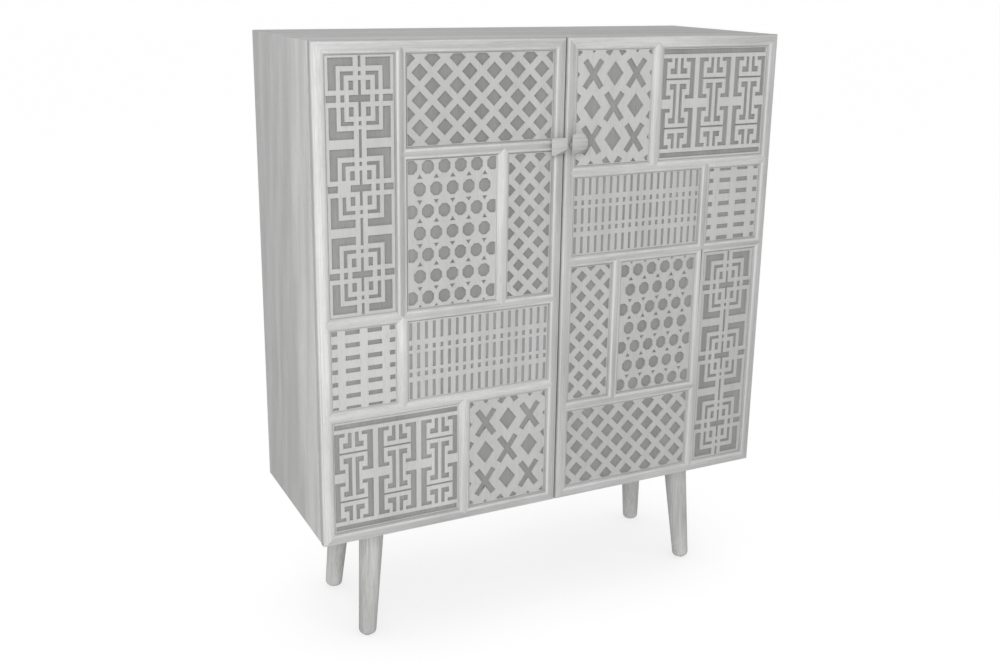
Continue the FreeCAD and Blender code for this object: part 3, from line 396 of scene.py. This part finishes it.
def free_copy(node, name):
    """Copy of a CAD node's mesh with its doubled points merged."""
    mesh = cad[node].data.copy()
    mesh.materials.clear()
    piece = bpy.data.objects.new(name, mesh)
    bpy.context.scene.collection.objects.link(piece)
    select_only(piece)
    bpy.ops.object.mode_set(mode="EDIT")
    bpy.ops.mesh.select_all(action="SELECT")
    bpy.ops.mesh.remove_doubles(threshold=touching)
    bpy.ops.object.mode_set(mode="OBJECT")
    return piece


def smooth(piece):
    select_only(piece)
    bpy.ops.object.shade_smooth_by_angle(angle=math.radians(smooth_angle))


def soften(piece, width, angle=sharp_angle):
    """Small round on every sharp edge, so that joints show as fine grooves."""
    bevel = piece.modifiers.new("soft_edges", "BEVEL")
    bevel.width = width
    bevel.segments = 2
    bevel.limit_method = "ANGLE"
    bevel.angle_limit = math.radians(angle)
    select_only(piece)
    bpy.ops.object.modifier_apply(modifier=bevel.name)
    smooth(piece)


def chamfer_front(piece, width):
    """Chamfers the front edges of a fret tile's holes; its outline stays sharp."""
    front = min(point.co.y for point in piece.data.vertices)
    select_only(piece)
    bpy.ops.object.mode_set(mode="EDIT")
    bpy.ops.mesh.select_mode(type="FACE")
    bpy.ops.mesh.select_all(action="DESELECT")
    bpy.ops.object.mode_set(mode="OBJECT")
    points = piece.data.vertices
    for face in piece.data.polygons:
        face.select = all(points[index].co.y < front + touching for index in face.vertices)
    bpy.ops.object.mode_set(mode="EDIT")
    bpy.ops.transform.translate(value=(0, width, 0))
    bpy.ops.mesh.inset(thickness=width, depth=width, use_boundary=True, use_even_offset=True)
    bpy.ops.object.mode_set(mode="OBJECT")
    # The outline's front points go back to where the tile ends
    points = piece.data.vertices
    outline_reach = 1.5 * width
    for axis in (0, 2):
        ends = [pick(point.co[axis] for point in points) for pick in (min, max)]
        for point in points:
            for end in ends:
                at_end = abs(point.co[axis] - end) < outline_reach
                if point.co.y < front + touching and at_end:
                    point.co[axis] = end


def stands_for(piece, node, material):
    """Gives a piece its place in the cabinet: body, finish and the node it replaces."""
    piece.data.materials.append(material)
    body = cad[node]["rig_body"]
    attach(piece, body)
    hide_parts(node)


def finish_node(node, material):
    for place in cad[node].material_slots:
        place.material = material


# Cabinet body

nickel = metal("nickel", nickel_colour)
zinc = metal("zinc", zinc_colour)
glide_plastic = moulded_plastic("glide_plastic", glide_colour)

for node, name, along, shift, tone, figure in (
    ("top_panel", "top_wood", "x", 0.3, 0.95, 0.9),
    ("bottom_panel", "bottom_wood", "x", 1.9, 0.97, 1.0),
    ("left_side_panel", "left_side_wood", "z", 3.1, 1.0, 0.9),
    ("right_side_panel", "right_side_wood", "z", 5.4, 1.0, 0.9),
):
    panel = free_copy(node, node + "_wood")
    soften(panel, panel_edge)
    panel_wood = wood(name, along, carcass_colours, shift, tone=tone, figure=figure)
    stands_for(panel, node, panel_wood)

divider_wood = wood("divider_wood", "z", shelf_colours, shift=7.7, figure=0.8)
back_ply = wood("back_ply", "z", ply_colours, shift=9.2, figure=0.7, wear=0.1)
finish_node("centre_divider", divider_wood)
finish_node("back_panel", back_ply)
shelf_names = ("lower_left_shelf", "upper_left_shelf", "lower_right_shelf", "upper_right_shelf")
for index, node in enumerate(shelf_names):
    shift = shelf_log + shelf_log_step * index
    finish_node(node, wood(node + "_wood", "x", shelf_colours, shift, figure=0.8))
for node in ("shelf_pins", "left_hinge_arms", "right_hinge_arms", "hinge_plates"):
    finish_node(node, nickel)
for node in ("leg_plates", "leg_fixings", "hinge_screws"):
    finish_node(node, zinc)
finish_node("leg_glides", glide_plastic)

leg_names = ("front_left_leg", "front_right_leg", "back_left_leg", "back_right_leg")
for index, node in enumerate(leg_names):
    shift = leg_log + leg_log_step * index
    leg_wood = wood(node + "_wood", "z", leg_colours, shift, figure=1.1, knots=1.0)
    leg = free_copy(node, node + "_turned")
    smooth(leg)
    stands_for(leg, node, leg_wood)


# Doors

tile_tones = {
    "square_fret_tile": {"left": 1.0, "right": 0.93},
    "wide_lattice_tile": {"left": 0.93, "right": 0.94},
    "cane_tile": {"left": 0.99, "right": 0.94},
    "tall_lattice_tile": {"left": 0.93, "right": 0.95},
    "dash_tile": {"left": 1.08, "right": 1.02},
    "slot_tile": {"left": 0.99, "right": 0.96},
    "key_fret_tile": {"left": 1.07, "right": 1.06},
    "cross_diamond_tile": {"left": 0.98, "right": 1.0},
}
# Tones of the frame's bars; the left door's outer stile at 1.42 is painted light, paler because
# more light falls on the cabinet's left edge
frame_tones_and_light = {
    "outer_stile": {"left": 1.42, "right": 0.93},
    "meeting_stile": {"left": 0.84, "right": 0.95},
    "top_rail": {"left": 1.1, "right": 1.1},
    "bottom_rail": {"left": 0.95, "right": 0.93},
    "upright_bars": {"left": 1.0, "right": 1.0},
    "crossbars": {"left": 1.0, "right": 1.0},
}
frame_grains = {
    "outer_stile": "z",
    "meeting_stile": "z",
    "top_rail": "x",
    "bottom_rail": "x",
    "upright_bars": "z",
    "crossbars": "x",
}

# Places on a door, as shares of its width from the hinge edge and of its height from the
# first end: uprights, crossbars, and from these the middle lines of the single bars
long_upright, short_upright, end_upright = 0.328, 0.7412, 0.5858
first_crossbar, middle_crossbar, last_crossbar = 0.2138, 0.5365, 0.727
bar_lines = {
    "upright_bars": (
        ((long_upright, 0), (long_upright, middle_crossbar)),
        ((short_upright, first_crossbar), (short_upright, middle_crossbar)),
        ((long_upright, middle_crossbar), (long_upright, last_crossbar)),
        ((end_upright, last_crossbar), (end_upright, 1)),
    ),
    "crossbars": (
        ((long_upright, first_crossbar), (1, first_crossbar)),
        ((0, middle_crossbar), (long_upright, middle_crossbar)),
        ((long_upright, middle_crossbar), (1, middle_crossbar)),
        ((0, last_crossbar), (1, last_crossbar)),
    ),
}

# How pale each single bar came out of the wash, in the order of its lines
bar_washes = {
    "left_upright_bars": (0.87, 1.21, 1.45, 1.32),
    "left_crossbars": (0.82, 1.18, 1.02, 1.44),
    "right_upright_bars": (0.91, 0.91, 0.78, 1.11),
    "right_crossbars": (0.89, 0.9, 1.0, 1.0),
}

# Fields of the ground, across and down the door, that are paler or darker than the rest
ground_washes = {
    "left": (
        ((long_upright, 1), (0, first_crossbar), 0.9),
        ((short_upright, 1), (first_crossbar, middle_crossbar), 0.93),
        ((0, long_upright), (middle_crossbar, last_crossbar), 1.08),
        ((long_upright, 1), (middle_crossbar, last_crossbar), 1.3),
        ((0, end_upright), (last_crossbar, 1), 1.13),
        ((end_upright, 1), (last_crossbar, 1), 1.05),
    ),
    "right": (
        ((0, long_upright), (middle_crossbar, last_crossbar), 1.04),
        ((long_upright, 1), (middle_crossbar, last_crossbar), 1.18),
    ),
}
ground_fade = 0.004


def wash_ground(material, side):
    """Tones the fields of the ground; each change fades out under the bars."""
    tree = material.node_tree
    turn = door_turns[side]
    place = put(tree, "ShaderNodeTexCoord").outputs["Object"]
    place = put(tree, "ShaderNodeSeparateXYZ", {0: place}).outputs
    hinge_edge = half_width / door_width
    first_end = turn * first_ends[side] / body_height
    across = sums(tree, "MULTIPLY_ADD", place["X"], turn / door_width, hinge_edge)
    down = sums(tree, "MULTIPLY_ADD", place["Z"], -turn / body_height, first_end)
    wash = 1.0
    for width, height, share in ground_washes[side]:
        inside = 1.0
        for value, (low, high) in ((across, width), (down, height)):
            risen = ramp(tree, value, low - ground_fade, low + ground_fade)
            inside = sums(tree, "MULTIPLY", inside, risen)
            fallen = ramp(tree, value, high + ground_fade, high - ground_fade)
            inside = sums(tree, "MULTIPLY", inside, fallen)
        wash = sums(tree, "MULTIPLY_ADD", inside, share - 1, wash)
    tone_base(material, wash)


def paint_wash(piece, side, name):
    """Leaves on each face the wash of the bar whose middle line is nearest."""
    layer = piece.data.attributes.new("wash", "FLOAT", "FACE")
    turn = door_turns[side]
    bars = []
    for line, wash in zip(bar_lines[name], bar_washes[side + "_" + name]):
        start, end = [
            Vector((share * door_width, level * body_height, 0)) for share, level in line
        ]
        bars.append((start, end, wash))
    for face in piece.data.polygons:
        across = half_width + turn * face.center.x
        down = turn * (first_ends[side] - face.center.z)
        place = Vector((across, down, 0))
        nearest = []
        for start, end, wash in bars:
            along = intersect_point_line(place, start, end)[1]
            foot = start.lerp(end, min(1, max(0, along)))
            nearest.append(((place - foot).length, wash))
        layer.data[face.index].value = min(nearest)[1]


def wash_by_face(material):
    """Tones a finished wood by the wash that paint_wash leaves on its piece."""
    wash = put(material.node_tree, "ShaderNodeAttribute", attribute_name="wash")
    tone_base(material, wash.outputs["Fac"])


for side, door_log in door_logs.items():
    # The board is a darker ground at the front, with pale lipping on its edges and its back
    board_wood = wood(side + "_board_wood", "z", board_colours, door_log, figure=0.8, wear=0.0)
    wash_ground(board_wood, side)
    second_wood(board_wood, bar_colours, door_log, off_front)
    finish_node(side + "_door_board", board_wood)

    for index, (name, tones) in enumerate(tile_tones.items()):
        node = side + "_" + name
        tile = free_copy(node, node + "_carved")
        chamfer_front(tile, hole_chamfer)
        shift = door_log + tile_log + tile_log_step * index
        tile_wood = wood(
            node + "_wood", "z", tile_colours, shift, tone=tones[side], figure=0.4, wear=0.2
        )
        # The holes' walls have no share in the face's tone
        second_wood(tile_wood, tile_colours, door_log, off_front)
        stands_for(tile, node, tile_wood)

    for index, (name, tones) in enumerate(frame_tones_and_light.items()):
        node = side + "_" + name
        bar = free_copy(node, node + "_moulded")
        soften(bar, bar_edge)
        shift = door_log + bar_log + bar_log_step * index
        bar_wood = wood(
            node + "_wood", frame_grains[name], bar_colours, shift, tone=tones[side], figure=0.9
        )
        if name in bar_lines:
            paint_wash(bar, side, name)
            wash_by_face(bar_wood)
        # Painted highlight along the bars' rounded shoulders
        second_wood(bar_wood, shoulder_highlight_colours, shift, outer_shoulder, inner_shoulder)
        stands_for(bar, node, bar_wood)

    knob_wood = wood(
        side + "_knob_wood", "x", bar_colours, door_log + knob_log, tone=0.87, figure=1.1
    )
    # Painted shade on every downward face of the knob
    second_wood(knob_wood, knob_underside_shade_colours, door_log, shaded_underside, axis="Z")
    knob = free_copy(side + "_knob", side + "_knob_carved")
    soften(knob, knob_edge, knob_sharp_angle)
    stands_for(knob, side + "_knob", knob_wood)
    finish_node(side + "_knob_screw", zinc)
    finish_node(side + "_hinge_cups", nickel)
    finish_node(side + "_hinge_pins", zinc)


# Floor, light and camera


def shown_background(tree):
    """1 for rays that see the floor itself, in the camera, a reflection or through glass."""
    path = put(tree, "ShaderNodeLightPath").outputs
    seen = sums(tree, "MAXIMUM", path["Is Camera Ray"], path["Is Glossy Ray"])
    return sums(tree, "MAXIMUM", seen, path["Is Transmission Ray"])


def build_floor():
    bpy.ops.mesh.primitive_plane_add(size=floor_size, location=(0, 0, 0))
    floor = bpy.context.object
    floor.name = "floor"
    material = bpy.data.materials.new("floor_white")
    material.use_nodes = True
    tree = material.node_tree
    shader = tree.nodes["Principled BSDF"]
    shader.inputs["Base Color"].default_value = floor_colour
    shader.inputs["Roughness"].default_value = 0.9
    shader.inputs["Specular IOR Level"].default_value = 0.1
    # Painted shadow: the glowing white dims softly under the body and round the feet, where the
    # cabinet hides the floor
    feeds = {"Distance": floor_shadow_reach}
    openness = put(tree, "ShaderNodeAmbientOcclusion", feeds, samples=8).outputs["AO"]
    strength = ramp(tree, openness, low=0.3, high=0.97, to_low=0.92, to_high=1.1)
    glow = put(tree, "ShaderNodeEmission", {"Color": white, "Strength": strength}).outputs[0]
    share = sums(tree, "MULTIPLY", shown_background(tree), floor_glow_share)
    surface = put(tree, "ShaderNodeMixShader", {0: share, 1: shader.outputs[0], 2: glow})
    tree.links.new(surface.outputs[0], tree.nodes["Material Output"].inputs["Surface"])
    floor.data.materials.append(material)


def build_world():
    """White where it is seen, and less than half of that as light on the cabinet."""
    world = bpy.data.worlds.new("studio")
    bpy.context.scene.world = world
    world.use_nodes = True
    tree = world.node_tree
    sky = tree.nodes["Background"]
    strength = sums(tree, "MULTIPLY_ADD", shown_background(tree), 1 - sky_light, sky_light)
    sky.inputs["Color"].default_value = white
    tree.links.new(strength, sky.inputs["Strength"])


def softbox(name, place, target, width, power):
    lamp = bpy.data.lights.new(name, "AREA")
    lamp.shape = "RECTANGLE"
    lamp.size = lamp.size_y = width
    lamp.energy = power
    light = bpy.data.objects.new(name, lamp)
    bpy.context.scene.collection.objects.link(light)
    aim = Vector(target) - Vector(place)
    light.rotation_euler = aim.to_track_quat("-Z", "Y").to_euler()
    light.location = place


def build_camera():
    forward = Vector((
        math.sin(camera_yaw) * math.cos(camera_pitch),
        math.cos(camera_yaw) * math.cos(camera_pitch),
        math.sin(camera_pitch),
    ))
    level = Vector((math.cos(camera_yaw), -math.sin(camera_yaw), 0))
    upright = level.cross(forward)
    right = level * math.cos(camera_roll) + upright * math.sin(camera_roll)
    up = upright * math.cos(camera_roll) - level * math.sin(camera_roll)
    lens = bpy.data.cameras.new("camera")
    lens.lens = camera_lens
    lens.sensor_width = camera_sensor
    lens.shift_y = camera_shift_y
    lens.clip_end = camera_reach
    camera = bpy.data.objects.new("camera", lens)
    bpy.context.scene.collection.objects.link(camera)
    turn = Matrix((right, up, -forward)).transposed().to_4x4()
    camera.matrix_world = Matrix.Translation(camera_place) @ turn
    bpy.context.scene.camera = camera


build_floor()
build_world()
softbox("key_light", (-1.9, -3.5, 2.1), target=(0.0, 0.0, 0.6), width=2.6, power=118.0)
softbox("fill_light", (2.6, -3.2, 1.6), target=(0.1, 0.0, 0.7), width=1.5, power=8.0)
build_camera()
bpy.context.scene.view_settings.view_transform = "Standard"
